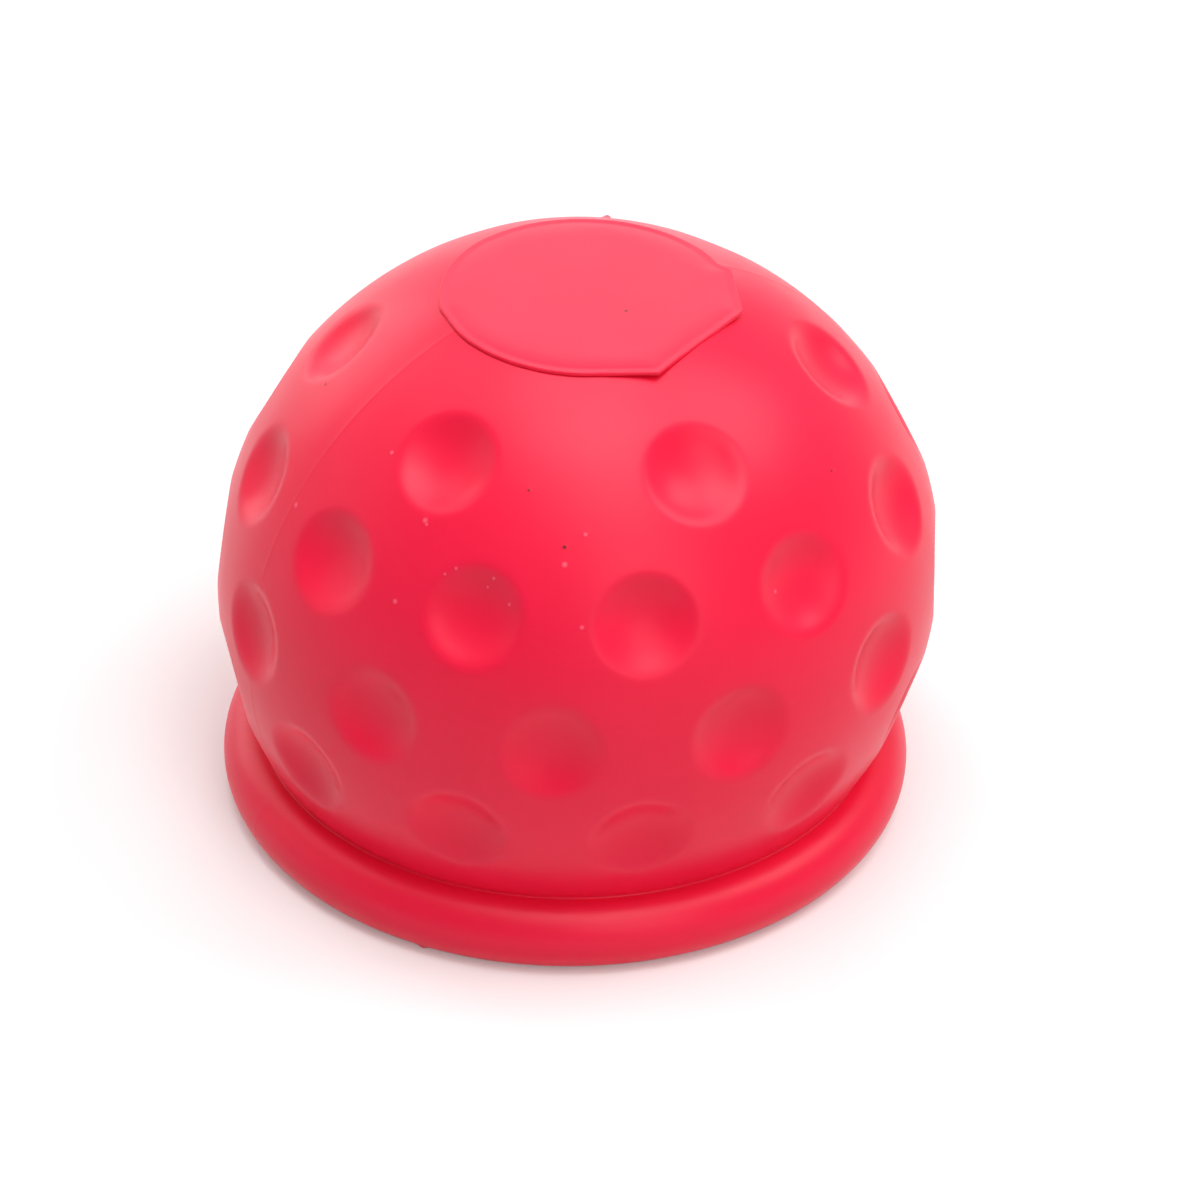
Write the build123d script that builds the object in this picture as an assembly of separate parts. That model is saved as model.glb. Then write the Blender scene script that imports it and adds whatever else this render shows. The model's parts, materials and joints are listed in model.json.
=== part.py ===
from build123d import *
import os
from math import cos, radians, sin, sqrt

# Tow ball cover: one soft moulded cap that snaps over the ball of a car's tow bar.
# Z is the axis of the cap, z = 0 is the plane it stands on, and -Y is its front.
# As drawn it is 65 mm wide over the dome, 63 mm over the rim and 53 mm tall.

# Driving dimensions, in millimetres and degrees

# Hollow that holds the ball
ball_diameter = 50.0
ball_clearance = 0.25  # gap between ball and hollow, all round
grip = 2.5  # how far the land in the mouth stands inside the ball's own radius
lead_in_flare = 4.0  # widening of the mouth from the land down to the ground
lead_in_height = 5.0
mouth_rounding = 1.5  # on both edges of the land

# Dome, and the rim round its foot
dome_wall = 7.25
ball_height = 22.46  # from the ground up to the ball's centre
waist_height = 6.3  # from the ground up to the groove between dome and rim
groove_radius = 0.3  # at the bottom of that groove
rim_wall = 9.2  # from the land out to the rim's widest circle
rim_widest_height = 2.9  # from the ground up to that circle
foot_wall = 3.57  # from the lead-in's edge out to where the rim's round face meets the ground

# Flat pad on top, where the feed of the mould was cut away with straight strokes of a knife
pad_diameter = 26.0
pad_thickness = 0.3
pad_overhang = 0.45  # the pad stands out past the flat that it grew on
pad_corners = [(-60.0, 1.2), (-7.0, 1.05), (22.0, 0.7)]  # angle of a corner, and its reach past the circle
pad_cut_start = -84.0  # angle where the first stroke leaves the circle
pad_cut_end = 28.0  # angle where the last stroke meets it again

# Dimples, as on a golf ball, in rings round the dome
dimple_diameter = 8.8
dimple_depth = 1.5
dimple_lip_rounding = 1.2
ring_latitudes = [48.0, 26.0, 5.0, -13.0]  # degrees above the equator
ring_counts = [6, 12, 12, 12]
ring_turns = [0.0, 15.0, 0.0, 15.0]  # angle of the first dimple in each ring
equal_radius = 0.001  # circles that differ by less are the same size

# Sizes that follow from those
hollow_radius = ball_diameter / 2 + ball_clearance
dome_radius = hollow_radius + dome_wall
land_radius = ball_diameter / 2 - grip
lead_in_radius = land_radius + lead_in_flare
rim_radius = land_radius + rim_wall
foot_radius = lead_in_radius + foot_wall
waist_radius = sqrt(dome_radius**2 - (ball_height - waist_height) ** 2)
pad_radius = pad_diameter / 2
pad_seat_radius = pad_radius - pad_overhang
dimple_radius = dimple_diameter / 2
land_top_z = ball_height - sqrt(hollow_radius**2 - land_radius**2)
pad_seat_z = ball_height + sqrt(dome_radius**2 - pad_seat_radius**2)


def polar(radius, angle):
    """Point at this distance from the axis, at this angle from +X."""
    return (radius * cos(radians(angle)), radius * sin(radians(angle)))


def plain_cap():
    """The cap without its pad and dimples: one section turned about the axis."""
    pad_seat = (pad_seat_radius, pad_seat_z)
    waist = (waist_radius, waist_height)
    foot = (foot_radius, 0)
    base_edge = (lead_in_radius, 0)
    land_foot = (land_radius, lead_in_height)
    land_top = (land_radius, land_top_z)
    hollow_top = (0, ball_height + hollow_radius)
    roundings = [
        (waist, groove_radius),
        (land_foot, mouth_rounding),
        (land_top, mouth_rounding),
    ]
    with BuildSketch(Plane.XZ) as section:
        with BuildLine():
            Line((0, pad_seat_z), pad_seat)
            ThreePointArc(pad_seat, (dome_radius, ball_height), waist)
            ThreePointArc(waist, (rim_radius, rim_widest_height), foot)
            Polyline(foot, base_edge, land_foot, land_top)
            ThreePointArc(land_top, (hollow_radius, ball_height), hollow_top)
            Line(hollow_top, (0, pad_seat_z))
        make_face()
        for corner, radius in roundings:
            fillet(section.vertices().sort_by_distance(corner)[0], radius)
    return revolve(section.sketch, Axis.Z)


def dimple_cutter():
    """Ball that cuts one dimple at the dome's top, when the dome is centred on the origin."""
    edge_height = sqrt(dome_radius**2 - dimple_radius**2)
    bowl_depth = dimple_depth - (dome_radius - edge_height)
    bowl_radius = (dimple_radius**2 + bowl_depth**2) / (2 * bowl_depth)
    lowest = edge_height - bowl_depth
    return Pos(0, 0, lowest + bowl_radius) * Rot(0, -90, 0) * Sphere(bowl_radius)


def dimpled(cap):
    """The cap with its rings of dimples, and their lips rounded."""
    cutter = dimple_cutter()
    cutters = []
    for latitude, count, first in zip(ring_latitudes, ring_counts, ring_turns):
        for number in range(count):
            turn = Rot(0, 0, first + number * 360 / count)
            cutters.append(Pos(0, 0, ball_height) * turn * Rot(0, 90 - latitude, 0) * cutter)
    cap = cap - cutters
    circles = cap.edges().filter_by(GeomType.CIRCLE)
    lips = circles.filter_by(lambda edge: abs(edge.radius - dimple_radius) < equal_radius)
    return fillet(lips, dimple_lip_rounding)


def feed_pad():
    """Flat disc on top of the dome, with the corners that the knife left."""
    uncut = CenterArc((0, 0), pad_radius, pad_cut_end, pad_cut_start + 360 - pad_cut_end)
    corners = [polar(pad_radius + reach, angle) for angle, reach in pad_corners]
    strokes = Polyline(uncut @ 1, *corners, uncut @ 0)
    outline = make_face([uncut, strokes])
    return extrude(Pos(0, 0, pad_seat_z) * outline, pad_thickness)


ball_cover = dimpled(plain_cap()) + feed_pad()

os.makedirs("parts", exist_ok=True)
export_step(ball_cover, "parts/ball_cover.step")
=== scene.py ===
import json
from math import acos, asin, atan, atan2, ceil, cos, degrees, hypot, pi, radians, sin, sqrt, tan

import bpy
import numpy as np
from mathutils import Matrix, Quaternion, Vector, noise
from mathutils.geometry import delaunay_2d_cdt


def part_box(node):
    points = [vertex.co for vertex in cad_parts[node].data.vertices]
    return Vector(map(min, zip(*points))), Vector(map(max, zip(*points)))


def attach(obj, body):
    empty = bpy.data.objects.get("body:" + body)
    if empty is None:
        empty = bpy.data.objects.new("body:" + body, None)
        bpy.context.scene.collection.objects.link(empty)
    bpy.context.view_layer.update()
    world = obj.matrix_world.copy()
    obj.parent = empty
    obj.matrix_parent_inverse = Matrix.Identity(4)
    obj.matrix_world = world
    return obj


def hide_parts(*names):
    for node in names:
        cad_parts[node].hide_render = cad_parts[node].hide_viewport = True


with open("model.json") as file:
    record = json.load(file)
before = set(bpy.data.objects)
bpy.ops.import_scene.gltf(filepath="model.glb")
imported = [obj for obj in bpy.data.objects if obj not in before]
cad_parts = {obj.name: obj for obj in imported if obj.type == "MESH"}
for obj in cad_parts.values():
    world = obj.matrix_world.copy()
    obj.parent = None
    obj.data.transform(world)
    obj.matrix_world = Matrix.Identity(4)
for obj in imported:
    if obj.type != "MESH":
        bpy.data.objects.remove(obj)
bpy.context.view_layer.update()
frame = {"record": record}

# Tow ball cover: one soft red cap from a two-part mould, standing on its rim.
# Sizes are in millimetres, and MM turns them to Blender's metres.
# Places on the dome are a latitude above its equator and a longitude from +X, in degrees.
MM = 0.001

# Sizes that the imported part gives
mounts = {mount["name"]: mount for mount in frame["record"]["mounts"]}
hollow_radius = mounts["ball_socket"]["dims"]["r_mm"]
ball_center_z = mounts["ball_socket"]["pos_m"][2] / MM
land_radius = mounts["mouth"]["dims"]["r_mm"]
pad_top_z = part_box("ball_cover")[1].z / MM

# Dome and dimples
dome_radius = hollow_radius + 7.25
dimple_radius = 4.4
dimple_depth = 1.5
dimple_lip_softness = 0.56
dimple_rings = [(48.0, 6, 0.0), (26.0, 12, 15.0), (5.0, 12, 0.0), (-13.0, 12, 15.0)]  # latitude, count, first
sag_height = 0.05  # slow waves that soft rubber takes as it cools
sag_length = 14.0

# Rim, mouth and hollow
rim_radius = 31.7
bead_radius = 3.4  # round outer face of the rim
bead_center_z = 2.9
groove_radius = 0.15  # bottom of the groove between dome and rim
foot_rounding = 0.25
base_edge_rounding = 0.4
lead_in_radius = land_radius + 4.0
lead_in_height = 5.0
mouth_rounding = 1.5

# Pad on top, trimmed with straight strokes of a knife
pad_radius = 13.0
pad_thickness = 0.3
pad_edge_rounding = 0.1
pad_seat_radius = 12.4
pad_droop = 0.1  # the thin edge has sunk towards the dome
pad_burr = 0.05  # ridge that the knife turned up along the edge
pad_edge_depth = 0.36  # from the flat down to the underside of the edge
pad_edge_gap = 0.03  # least gap between that underside and the dome
pad_corners = [(-60.0, 1.2), (-7.0, 1.05), (22.0, 0.7)]  # angle, and reach past the circle
pad_cut_start = -84.0
pad_cut_end = 28.0
pad_bulges = [(-165.0, 0.2, 4.0), (95.0, -0.35, 55.0)]  # angle, added reach, half width in degrees
pad_wander = 0.06  # how far the cut edge wanders
wander_length = 3.0

# Set of the soft cap, which no longer stands quite true
lean = 0.0238  # shift along +X for each millimetre of height
bulge = 1.05  # swelling of its +X side
foot_share = 0.3  # share of that swelling at the foot
top_share = 1.3  # and at the top

# Traces of the mould
parting_angles = (-150.0, 30.0)
parting_height = 0.025
parting_half_width = 0.14
nib_angle = -111.0
nib_reach = 0.35
nib_half_width = 0.4
nib_height = 0.7
nicks = [(56.0, 86.4, 0.3, 0.4), (56.0, 84.2, -0.3, 0.4)]  # latitude, longitude, height, radius

# Specks: latitude, longitude, radius
dust_specks = [
    (38.4, -119.0, 0.2),
    (37.9, -118.4, 0.12),
    (35.8, -89.7, 0.2),
    (32.5, -102.7, 0.13),
    (28.8, -99.2, 0.13),
    (25.0, -119.6, 0.18),
    (26.2, -86.1, 0.15),
    (26.2, -49.9, 0.16),
    (30.9, -103.8, 0.1),
    (40.5, -85.9, 0.14),
    (32.8, -110.0, 0.12),
    (31.5, -111.8, 0.1),
    (45.5, -134.0, 0.15),
    (29.3, -149.0, 0.2),
]
dirt_specks = [(38.5, -89.9, 0.14), (46.8, -98.8, 0.1), (39.0, -28.3, 0.1), (44.3, -167.0, 0.12)]
pad_dirt_speck = (-35.6, 4.6, 0.17)  # angle, distance from the axis, radius
speck_height = 0.03
speck_clearance = 2.2  # other points keep this many radii away from a speck

# Spacing of the mesh
plain_spacing = 0.74
section_spacing = 0.7
arc_spacing = 0.35
hollow_spacing = 1.1
hollow_end = 89.0  # latitude of the hollow's last ring, which one point closes
golden_turn = 180 * (3 - sqrt(5))  # turn between points of an even spread
parting_offsets = (-2.2, -1.0, 0.0, 1.0, 2.2)  # rows of points along the parting line, in its half widths
parting_clearance = 4  # other points keep this many half widths away from it
close_angles = (-0.6, -0.3, 0.3, 0.6)  # added round the cap beside the parting line and the nib
pad_edge_rings = [(0.45, 1.0, 1), (0.9, 0.6, 2), (1.5, 0.2, 2)]  # inset, share of the droop, stride
pad_inner_margin = 2.1
pad_underside_inset = 0.05
sharp_angle = 50.0  # faces that meet at more than this show an edge
dimple_circles = [  # distance from the dimple's middle, points
    (0.9, 10),
    (1.7, 18),
    (2.4, 26),
    (3.0, 34),
    (3.45, 42),
    (3.8, 48),
    (4.05, 54),
    (4.25, 54),
    (4.42, 54),
    (4.6, 54),
    (4.82, 54),
    (5.1, 50),
    (5.5, 46),
]
speck_circles = [(0.0, 1), (0.5, 6), (1.0, 10), (1.7, 12)]  # share of the speck's radius, points

# Table
table_reach = 3000  # from the cap's axis to the table's edges
table_drop = 0.02  # gap that keeps the table's face off the base

# Light: soft lamps round the cap, where a brightness of 1 is that of white paper
softboxes = [  # name, longitude, height in degrees, width of the box, brightness
    ("top", 0, 90, 420, 3.9),
    ("front_high", -85, 65, 340, 1.3),
    ("front_right_high", -50, 65, 340, 2.0),
    ("front", -64, 40, 340, 1.5),
    ("front_right_low", -60, 20, 340, 0.9),
    ("right_high", 12, 52, 340, 4.0),
    ("left", 180, 20, 340, 0.7),
    ("left_high", 160, 56, 340, 1.5),
    ("back_left", 135, 20, 340, 2.1),
    ("back", 90, 20, 340, 2.2),
]
lamp_aim = (0, 0, 20)
lamp_distance = 650
table_lift = 0.2  # glow that lets the table look white where no shadow falls
lift_start = 150  # from this distance out the glow grows, because the lamps no longer light the table there
lift_full = 700  # and from this distance out it is white by itself

# Camera, which stands as the photograph's did
camera_place = (23.56, -492.305, 366.18)
camera_aim = (3.19, 0.085, 19.27)
camera_roll = 1.34
camera_lens = 196.25
camera_sensor = 36.0


def heading(latitude, longitude):
    """Directions from the ball's centre to places on the dome."""
    latitude, longitude = np.broadcast_arrays(np.radians(latitude), np.radians(longitude))
    level = np.cos(latitude)
    return np.stack([level * np.cos(longitude), level * np.sin(longitude), np.sin(latitude)], axis=-1)


def circle_round(axis, reach, count, stagger):
    """Even directions at this distance along the dome from an axis."""
    side = np.cross(axis, (0.0, 0.0, 1.0))
    side /= np.linalg.norm(side)
    rise = np.cross(side, axis)
    turn = (np.arange(count) + stagger) * 2 * pi / count
    across = np.outer(np.cos(turn), side) + np.outer(np.sin(turn), rise)
    return cos(reach / dome_radius) * axis + sin(reach / dome_radius) * across


def distance_along_dome(directions, axis):
    return np.arccos(np.clip(directions @ axis, -1, 1)) * dome_radius


def distance_to_parting(directions):
    """Distance along the dome to the nearer half of the parting line."""
    nearest = np.full(len(directions), np.inf)
    for angle in parting_angles:
        half_plane = heading(0.0, angle)
        across = heading(0.0, angle + 90.0)
        away = np.abs(directions @ across) * dome_radius
        nearest = np.where(directions @ half_plane > 0, np.minimum(nearest, away), nearest)
    return nearest


dimple_axes = [
    heading(latitude, first + number * 360 / count)
    for latitude, count, first in dimple_rings
    for number in range(count)
]
speck_axes = [
    (heading(latitude, longitude), radius) for latitude, longitude, radius in dust_specks + dirt_specks
]
nick_axes = [(heading(latitude, longitude), radius) for latitude, longitude, _, radius in nicks]


def ring_angles():
    """Angles round the cap: one each degree, and closer at the parting line and the nib."""
    angles = {float(angle) for angle in range(-180, 180)}
    for place in (*parting_angles, nib_angle):
        angles.update(place + offset for offset in close_angles)
    return np.array(sorted(angles))


angles = ring_angles()


def smooth_least(a, b, softness):
    """The lesser of two heights, with the corner between them rounded."""
    share = np.clip(0.5 + 0.5 * (b - a) / softness, 0, 1)
    return b * (1 - share) + a * share - softness * share * (1 - share)


def waves(points, length):
    """Slow smooth noise between about -1 and 1."""
    return np.array([noise.noise(Vector(point) / length) for point in points])


def dome_points(directions):
    """Points of the dome's skin: dimples, soft waves, parting line, nicks and specks."""
    reach = np.full(len(directions), dome_radius)
    edge_height = sqrt(dome_radius**2 - dimple_radius**2)
    bowl_depth = dimple_depth - (dome_radius - edge_height)
    bowl_radius = (dimple_radius**2 + bowl_depth**2) / (2 * bowl_depth)
    bowl_center = edge_height - bowl_depth + bowl_radius
    for axis in dimple_axes:
        along = directions @ axis
        across = np.sqrt(np.clip(1 - along**2, 0, 1)) * bowl_center
        inside = np.sqrt(np.clip(bowl_radius**2 - across**2, 0, None))
        bowl = np.where((across < bowl_radius) & (along > 0), bowl_center * along - inside, np.inf)
        near = bowl < dome_radius + 1
        reach[near] = smooth_least(reach[near], bowl[near], dimple_lip_softness)
    reach += sag_height * waves(directions * dome_radius, sag_length)
    reach += parting_height * np.exp(-((distance_to_parting(directions) / parting_half_width) ** 2))
    for (axis, radius), (_, _, height, _) in zip(nick_axes, nicks):
        reach += height * np.exp(-((distance_along_dome(directions, axis) / radius) ** 2))
    for axis, radius in speck_axes:
        reach += speck_height * np.exp(-((distance_along_dome(directions, axis) / radius) ** 2))
    return directions * reach[:, None] + (0, 0, ball_center_z)


def keep_clear(directions, zones):
    """The directions that lie outside all these round zones of the dome."""
    kept = np.ones(len(directions), bool)
    for axis, reach in zones:
        kept &= distance_along_dome(directions, axis) > reach
    return directions[kept]


def dome_directions(top, bottom):
    """Directions for the dome's points: circles round dimples and specks, and an even spread elsewhere."""
    spots = speck_axes + nick_axes
    spot_zones = [(axis, radius * speck_clearance) for axis, radius in spots]
    groups = []
    for axis, radius in spots:
        groups += [circle_round(axis, share * radius, count, 0) for share, count in speck_circles]
    for axis in dimple_axes:
        groups.append(keep_clear(axis[None], spot_zones))
        for number, (reach, count) in enumerate(dimple_circles):
            circle = circle_round(axis, reach, count, number % 2 / 2)
            groups.append(keep_clear(circle, spot_zones))
    dimple_zones = [(axis, dimple_circles[-1][0] + plain_spacing / 2) for axis in dimple_axes]
    step = degrees(section_spacing / dome_radius)
    latitudes = np.arange(bottom + step, top - step / 2, step)
    for angle in parting_angles:
        for offset in parting_offsets:
            spread = np.degrees(offset * parting_half_width / dome_radius / np.cos(np.radians(latitudes)))
            groups.append(keep_clear(heading(latitudes, angle + spread), dimple_zones + spot_zones))
    total = int(4 * pi * dome_radius**2 / plain_spacing**2)
    number = np.arange(total) + 0.5
    even = heading(np.degrees(np.arcsin(1 - 2 * number / total)), number * golden_turn)
    heights = np.degrees(np.arcsin(even[:, 2]))
    even = even[(heights < top - step) & (heights > bottom + step)]
    even = even[distance_to_parting(even) > parting_clearance * parting_half_width]
    groups.append(keep_clear(even, dimple_zones + spot_zones))
    return np.vstack(groups)


def between(flat_points, outline):
    """Triangles between scattered points of a plane, inside an outline of some of them."""
    points = [Vector(point) for point in flat_points]
    _, _, triangles, origins, _, _ = delaunay_2d_cdt(points, [], [outline], 1, 1e-9)
    return [tuple(origins[corner][0] for corner in triangle) for triangle in triangles]


def arc(center, radius, start, end, spacing=arc_spacing):
    """Points of the section along an arc, with both ends."""
    count = max(5, ceil(abs(radians(end - start)) * radius / spacing))
    return [
        (center[0] + radius * cos(radians(angle)), center[1] + radius * sin(radians(angle)))
        for angle in np.linspace(start, end, count + 1)
    ]


def groove_center():
    """Centre of the groove's curve in the section, where it touches both the dome and the bead."""
    bead_r = rim_radius - bead_radius
    apart = hypot(bead_r, ball_center_z - bead_center_z)
    to_dome = dome_radius + groove_radius
    to_bead = bead_radius + groove_radius
    along = (to_dome**2 - to_bead**2 + apart**2) / (2 * apart)
    aside = sqrt(to_dome**2 - along**2)
    out, down = bead_r / apart, (ball_center_z - bead_center_z) / apart
    return (along * out + aside * down, ball_center_z - along * down + aside * out)


def lower_section():
    """The section from the groove over the rim, the base and the mouth to the top of the hollow."""
    groove = groove_center()
    bead = (rim_radius - bead_radius, bead_center_z)
    groove_start = 180 - degrees(atan2(ball_center_z - groove[1], groove[0]))
    groove_end = 180 + degrees(atan2(groove[1] - bead[1], groove[0] - bead[0]))
    foot_rise = foot_rounding - bead[1]
    foot = (bead[0] + sqrt((bead_radius - foot_rounding) ** 2 - foot_rise**2), foot_rounding)
    bead_end = degrees(atan2(foot_rise, foot[0] - bead[0]))
    flare = 180 + degrees(atan((lead_in_radius - land_radius) / lead_in_height))
    base_edge = (lead_in_radius + base_edge_rounding * tan(radians((270 - flare) / 2)), base_edge_rounding)
    land_foot_tangent = mouth_rounding * tan(radians((flare - 180) / 2))
    land_foot = (land_radius + mouth_rounding, lead_in_height + land_foot_tangent)
    top_drop = sqrt((hollow_radius + mouth_rounding) ** 2 - (land_radius + mouth_rounding) ** 2)
    land_top = (land_radius + mouth_rounding, ball_center_z - top_drop)
    hollow_start = -degrees(atan2(top_drop, land_top[0]))
    points = arc(groove, groove_radius, groove_start, groove_end)
    points += arc(bead, bead_radius, groove_end - 180, bead_end)
    points += arc(foot, foot_rounding, bead_end, -90)
    points += arc(base_edge, base_edge_rounding, 270, flare)
    points += arc(land_foot, mouth_rounding, flare, 180)
    points += arc(land_top, mouth_rounding, 180, 180 + hollow_start)
    points += arc((0, ball_center_z), hollow_radius, hollow_start, hollow_end, hollow_spacing)
    return filled_in(points)


def filled_in(points):
    """The same section, with points added where two are far apart and doubled points dropped."""
    section = [points[0]]
    for point in points[1:]:
        last = section[-1]
        gap = hypot(point[0] - last[0], point[1] - last[1])
        if gap < section_spacing / 20:
            continue
        steps = ceil(gap / (1.6 * section_spacing))
        for step in range(1, steps + 1):
            share = step / steps
            section.append((last[0] + share * (point[0] - last[0]), last[1] + share * (point[1] - last[1])))
    return section


def turned_ring(radius, height):
    """One circle of the rim or the inside, with the parting line and the nib at the foot."""
    reach = np.full(len(angles), radius)
    if radius > lead_in_radius + base_edge_rounding and height > 0:
        for angle in parting_angles:
            away = np.radians(angles - angle) * radius
            reach += parting_height * np.exp(-((away / parting_half_width) ** 2))
        away = np.radians(angles - nib_angle) * radius
        reach += nib_reach * np.exp(-((away / nib_half_width) ** 2)) * max(0, 1 - height / nib_height)
    return on_circle(reach, np.full(len(angles), height))


def on_circle(reach, heights):
    turn = np.radians(angles)
    return np.stack([reach * np.cos(turn), reach * np.sin(turn), heights], axis=-1)


def pad_reach():
    """Distance from the axis to the pad's edge at each angle: arc, knife strokes and their wander."""
    corners = [(pad_cut_start, 0.0), *pad_corners, (pad_cut_end, 0.0)]
    reach = np.full(len(angles), pad_radius)
    for (start, start_reach), (end, end_reach) in zip(corners, corners[1:]):
        a = (pad_radius + start_reach) * np.array((cos(radians(start)), sin(radians(start))))
        b = (pad_radius + end_reach) * np.array((cos(radians(end)), sin(radians(end))))
        normal = np.array((b[1] - a[1], a[0] - b[0]))
        stroke = (angles >= start) & (angles <= end)
        turn = np.radians(angles[stroke])
        reach[stroke] = (a @ normal) / (np.cos(turn) * normal[0] + np.sin(turn) * normal[1])
    for bulge_angle, bulge_reach, half_width in pad_bulges:
        reach += bulge_reach * np.exp(-(((angles - bulge_angle) / half_width) ** 2))
    return reach + pad_wander * waves(on_circle(reach, np.zeros(len(angles))), wander_length)


def pad_top_points(reach):
    """Points on the flat of the pad, inside its rounded edge."""
    rings = []
    for inset, share, stride in pad_edge_rings:
        rings.append(on_circle(reach - inset, np.full(len(angles), pad_top_z - share * pad_droop))[::stride])
    total = int(pi * pad_radius**2 / plain_spacing**2)
    number = np.arange(total) + 0.5
    distance = pad_radius * np.sqrt(number / total)
    turn = np.radians(number * golden_turn)
    even = np.stack([distance * np.cos(turn), distance * np.sin(turn), np.full(total, pad_top_z)], axis=-1)
    allowed = np.interp(np.degrees(np.arctan2(even[:, 1], even[:, 0])), angles, reach) - pad_inner_margin
    angle, away, radius = pad_dirt_speck
    middle = np.array((away * cos(radians(angle)), away * sin(radians(angle)), pad_top_z))
    clear_of_speck = np.linalg.norm(even - middle, axis=1) > speck_clearance * radius
    rings.append(even[(distance < allowed) & clear_of_speck])
    for share, count in speck_circles:
        turn = np.arange(count) * 2 * pi / count
        circle = np.stack([np.cos(turn), np.sin(turn), np.zeros(count)], axis=-1)
        rings.append(middle + share * radius * circle)
    points = np.vstack(rings)
    points[:, 2] += 0.5 * sag_height * waves(points, sag_length / 2)
    return points


class Skin:
    """Points and faces of the cap, gathered ring by ring."""

    def __init__(self):
        self.points = []
        self.faces = []

    def add(self, points):
        first = len(self.points)
        self.points.extend(map(tuple, points))
        return list(range(first, len(self.points)))

    def join(self, ring, following):
        for i in range(len(ring)):
            self.faces.append((ring[i], ring[i - 1], following[i - 1], following[i]))

    def close(self, ring, apex):
        for i in range(len(ring)):
            self.faces.append((ring[i], ring[i - 1], apex))

    def fill(self, members, flat_points, outline, hole=()):
        hole = set(hole)
        places = {member: place for place, member in enumerate(members)}
        for triangle in between(flat_points, [places[member] for member in outline]):
            corners = tuple(members[corner] for corner in triangle)
            if not hole.issuperset(corners):
                self.faces.append(corners)


def cap_skin():
    """The whole skin: pad, dome, rim, base, mouth and hollow."""
    skin = Skin()
    reach = pad_reach()

    # Pad: flat top, rounded edge, and the underside that overhangs the dome
    edge_top = pad_top_z - pad_droop + pad_burr
    flat_edge = skin.add(on_circle(reach - pad_edge_rounding, np.full(len(angles), edge_top)))
    inner = skin.add(pad_top_points(reach))
    members = flat_edge + inner
    skin.fill(members, [skin.points[member][:2] for member in members], flat_edge)
    ring = flat_edge
    for turn in np.radians([22.5, 45.0, 67.5, 90.0]):
        edge = reach - pad_edge_rounding * (1 - sin(turn))
        drop = np.full(len(angles), edge_top - pad_edge_rounding * (1 - cos(turn)))
        following = skin.add(on_circle(edge, drop))
        skin.join(ring, following)
        ring = following
    dome_below = ball_center_z + np.sqrt(dome_radius**2 - reach**2)
    underside = np.maximum(pad_top_z - pad_edge_depth, dome_below + pad_edge_gap)
    for edge in (reach, reach - pad_underside_inset):
        following = skin.add(on_circle(edge, underside))
        skin.join(ring, following)
        ring = following

    # Dome, from the pad's seat to the groove
    top = degrees(acos(pad_seat_radius / dome_radius))
    bottom = -degrees(asin((ball_center_z - groove_center()[1]) / (dome_radius + groove_radius)))
    upper, lower = heading(top, angles), heading(bottom, angles)
    spread = dome_directions(top, bottom)
    directions = np.vstack([upper, lower, spread])
    members = skin.add(dome_points(directions))
    seat, waist = members[: len(angles)], members[len(angles) : 2 * len(angles)]
    skin.join(ring, seat)
    skin.fill(members, directions[:, :2] / (1 + directions[:, 2:]), waist, hole=seat)

    # Groove, rim, base, mouth and hollow
    ring = waist
    for radius, height in lower_section()[1:]:
        following = skin.add(turned_ring(radius, height))
        skin.join(ring, following)
        ring = following
    apex = skin.add([(0, 0, ball_center_z + hollow_radius)])[0]
    skin.close(ring, apex)
    return skin


def mark_specks(mesh, places):
    """Point attributes that say where dust and dirt lie."""
    from_center = places - (0, 0, ball_center_z)
    directions = from_center / np.linalg.norm(from_center, axis=1)[:, None]
    outside = np.linalg.norm(from_center, axis=1) > hollow_radius + 1
    on_top = places[:, 2] > pad_top_z - pad_thickness / 2
    for name, specks in (("dust", dust_specks), ("dirt", dirt_specks)):
        cover = np.zeros(len(places))
        for latitude, longitude, radius in specks:
            away = distance_along_dome(directions, heading(latitude, longitude)) / radius
            cover = np.maximum(cover, np.where(outside & ~on_top, np.clip(1.5 - away, 0, 1), 0))
        if name == "dirt":
            angle, distance, radius = pad_dirt_speck
            middle = (distance * cos(radians(angle)), distance * sin(radians(angle)))
            away = np.linalg.norm(places[:, :2] - middle, axis=1) / radius
            cover = np.maximum(cover, np.where(on_top, np.clip(1.5 - away, 0, 1), 0))
        attribute = mesh.attributes.new(name, "FLOAT", "POINT")
        attribute.data.foreach_set("value", cover.astype(np.float32))


def linear(hex_color):
    """A colour written as sRGB hex, in the linear values that shaders take."""
    channels = [int(hex_color[i : i + 2], 16) / 255 for i in (1, 3, 5)]
    return (*[c / 12.92 if c <= 0.04045 else ((c + 0.055) / 1.055) ** 2.4 for c in channels], 1.0)


def add_node(tree, kind, inputs=None, **settings):
    """A node with its settings; an input is a value, or the output socket that feeds it."""
    made = tree.nodes.new(kind)
    for name, value in settings.items():
        setattr(made, name, value)
    for name, value in (inputs or {}).items():
        if isinstance(value, bpy.types.NodeSocket):
            tree.links.new(value, made.inputs[name])
        else:
            made.inputs[name].default_value = value
    return made


def per_metre(size):
    """Scale of a texture whose features are this many millimetres across."""
    return 1 / (size * MM)


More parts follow.
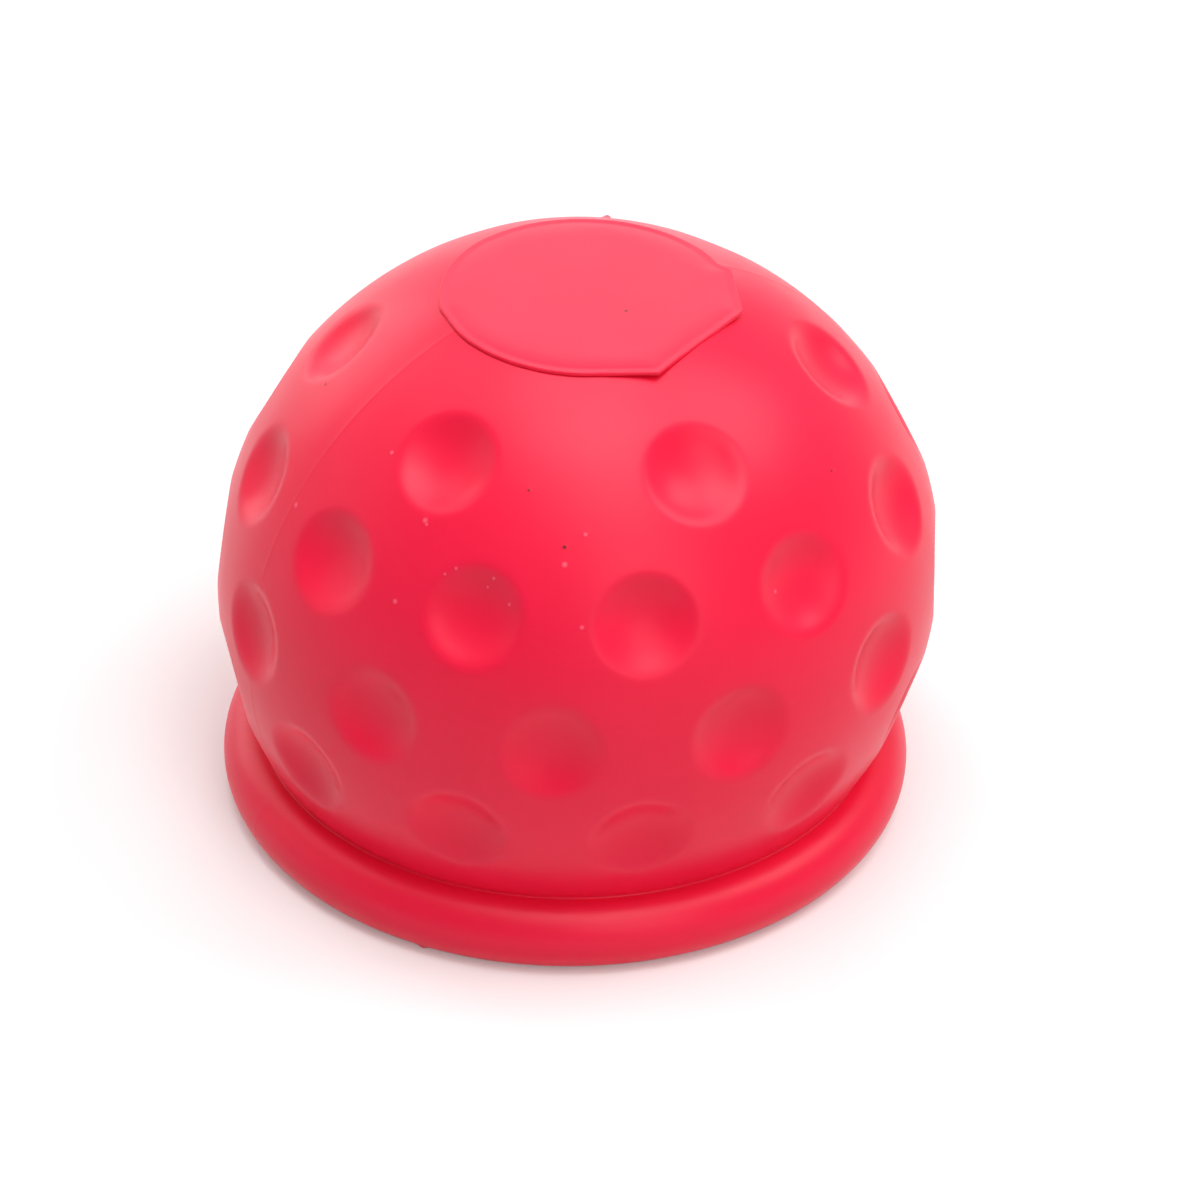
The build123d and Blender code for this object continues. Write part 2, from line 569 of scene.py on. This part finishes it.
def moulded_red_rubber():
    """Soft PVC rubber as it leaves a polished mould: an even strong red under a satin skin.

    The skin mirrors pale surroundings softly at a slant, so the low part of the dome takes a grey pink
    bloom from the floor. The pigment is a little uneven, and handling leaves dull and shiny patches.
    """
    material = bpy.data.materials.new("moulded_red_rubber")
    material.use_nodes = True
    tree = material.node_tree
    tree.nodes.clear()
    place = add_node(tree, "ShaderNodeTexCoord").outputs["Object"]

    # Pigment streaks about 11 mm wide
    streaks = add_node(
        tree,
        "ShaderNodeTexNoise",
        {"Vector": place, "Scale": per_metre(11.0), "Detail": 3.0, "Roughness": 0.55},
    )
    pigment = add_node(
        tree,
        "ShaderNodeMix",
        {"Factor": streaks.outputs["Fac"], "A": linear("#F4183F"), "B": linear("#FE1C47")},
        data_type="RGBA",
    )
    dust = add_node(tree, "ShaderNodeAttribute", attribute_name="dust")
    dusted = add_node(
        tree,
        "ShaderNodeMix",
        {"Factor": dust.outputs["Fac"], "A": pigment.outputs["Result"], "B": linear("#FF5E78")},
        data_type="RGBA",
    )
    dirt = add_node(tree, "ShaderNodeAttribute", attribute_name="dirt")
    colour = add_node(
        tree,
        "ShaderNodeMix",
        {"Factor": dirt.outputs["Fac"], "A": dusted.outputs["Result"], "B": linear("#5A0A12")},
        data_type="RGBA",
    )

    # Dull and shiny patches about 6 mm wide
    handling = add_node(
        tree,
        "ShaderNodeTexNoise",
        {"Vector": place, "Scale": per_metre(6.0), "Detail": 4.0, "Roughness": 0.6},
    )
    roughness = add_node(
        tree, "ShaderNodeMapRange", {"Value": handling.outputs["Fac"], "To Min": 0.3, "To Max": 0.42}
    )

    # Grain of the mould, about 0.1 mm on the real skin and drawn at 0.4 mm so that it shows
    grain = add_node(
        tree,
        "ShaderNodeTexNoise",
        {"Vector": place, "Scale": per_metre(0.4), "Detail": 2.0, "Roughness": 0.5},
    )
    relief = add_node(
        tree, "ShaderNodeBump", {"Strength": 0.2, "Distance": 0.02 * MM, "Height": grain.outputs["Fac"]}
    )
    rubber = add_node(
        tree,
        "ShaderNodeBsdfPrincipled",
        {
            "Base Color": colour.outputs["Result"],
            "Roughness": roughness.outputs["Result"],
            "Normal": relief.outputs["Normal"],
            "IOR": 1.5,
            "Specular IOR Level": 0.27,
        },
    )
    add_node(tree, "ShaderNodeOutputMaterial", {"Surface": rubber.outputs["BSDF"]})
    return material


def slumped(points):
    """The points moved to the slight lean and bulge that the soft cap has taken."""
    points = np.array(points)
    x, z = points[:, 0].copy(), points[:, 2]
    rise = z / ball_center_z
    share = np.minimum(foot_share + (1 - foot_share) * rise, top_share)
    swelling = np.clip(x / dome_radius, 0, None) ** 2 * share
    points[:, 0] += lean * z + bulge * swelling
    return points


def cap():
    """The cap as one mesh that stands for the CAD solid."""
    skin = cap_skin()
    mesh = bpy.data.meshes.new("cap")
    mesh.from_pydata((slumped(skin.points) * MM).tolist(), [], skin.faces)
    mesh.validate()
    mesh.shade_smooth()
    mesh.set_sharp_from_angle(angle=radians(sharp_angle))
    mark_specks(mesh, np.array(skin.points))
    mesh.materials.append(moulded_red_rubber())
    piece = bpy.data.objects.new("cap", mesh)
    bpy.context.scene.collection.objects.link(piece)
    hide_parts("ball_cover")
    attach(piece, "root")
    return piece


def white_table():
    """Smooth white table top, which shows as white and keeps the cap's shadow."""
    size, height = table_reach * MM, -table_drop * MM
    corners = [(-size, -size, height), (size, -size, height), (size, size, height), (-size, size, height)]
    mesh = bpy.data.meshes.new("white_table")
    mesh.from_pydata(corners, [], [(0, 1, 2, 3)])
    material = bpy.data.materials.new("matt_white_board")
    material.use_nodes = True
    tree = material.node_tree
    tree.nodes.clear()
    board = add_node(tree, "ShaderNodeBsdfDiffuse", {"Color": linear("#E6E4E4")})
    place = add_node(tree, "ShaderNodeTexCoord").outputs["Object"]
    away = add_node(tree, "ShaderNodeVectorMath", {0: place}, operation="LENGTH").outputs["Value"]
    reach = {"Value": away, "From Min": lift_start * MM, "From Max": lift_full * MM, "To Min": table_lift}
    growing = add_node(tree, "ShaderNodeMapRange", reach).outputs["Result"]
    lift = add_node(tree, "ShaderNodeMath", {0: seen(tree), 1: growing}, operation="MULTIPLY")
    glow = add_node(tree, "ShaderNodeEmission", {"Strength": lift.outputs["Value"]})
    lifted = add_node(tree, "ShaderNodeAddShader", {0: board.outputs["BSDF"], 1: glow.outputs["Emission"]})
    add_node(tree, "ShaderNodeOutputMaterial", {"Surface": lifted.outputs["Shader"]})
    mesh.materials.append(material)
    table = bpy.data.objects.new("white_table", mesh)
    bpy.context.scene.collection.objects.link(table)


def softbox(name, longitude, height, size, brightness):
    """A square soft lamp that faces the cap; at a brightness of 1 it looks as white as paper."""
    lamp = bpy.data.lights.new(name, "AREA")
    lamp.size = size * MM
    lamp.energy = brightness * pi * lamp.size**2
    holder = bpy.data.objects.new(name, lamp)
    bpy.context.scene.collection.objects.link(holder)
    outward = Vector(heading(height, longitude))
    holder.location = (Vector(lamp_aim) + lamp_distance * outward) * MM
    holder.rotation_euler = (-outward).to_track_quat("-Z", "Y").to_euler()
    holder.visible_camera = False


def seen(tree):
    """1 for what the camera sees, by itself or in a shiny or clear thing, and 0 for light on matt things."""
    sight = add_node(tree, "ShaderNodeLightPath")
    direct = sight.outputs["Is Camera Ray"]
    mirrored = sight.outputs["Is Glossy Ray"]
    through = sight.outputs["Is Transmission Ray"]
    either = add_node(tree, "ShaderNodeMath", {0: direct, 1: mirrored}, operation="MAXIMUM")
    either = add_node(tree, "ShaderNodeMath", {0: either.outputs["Value"], 1: through}, operation="MAXIMUM")
    return either.outputs["Value"]


def studio_light():
    """Soft lamps round the cap, in a room that looks white."""
    for lamp in softboxes:
        softbox(*lamp)
    world = bpy.data.worlds.new("white_room")
    bpy.context.scene.world = world
    world.use_nodes = True
    tree = world.node_tree
    tree.nodes.clear()
    room = add_node(tree, "ShaderNodeBackground", {"Color": linear("#FFFFFF"), "Strength": seen(tree)})
    add_node(tree, "ShaderNodeOutputWorld", {"Surface": room.outputs["Background"]})


def camera():
    lens = bpy.data.cameras.new("camera")
    lens.sensor_width = camera_sensor
    lens.lens = camera_lens
    holder = bpy.data.objects.new("camera", lens)
    bpy.context.scene.collection.objects.link(holder)
    holder.location = Vector(camera_place) * MM
    look = (Vector(camera_aim) - Vector(camera_place)).to_track_quat("-Z", "Y")
    turned = look @ Quaternion((0, 0, 1), radians(camera_roll))
    holder.rotation_euler = turned.to_euler()
    bpy.context.scene.camera = holder


cap()
white_table()
studio_light()
camera()
bpy.context.scene.view_settings.view_transform = "Standard"
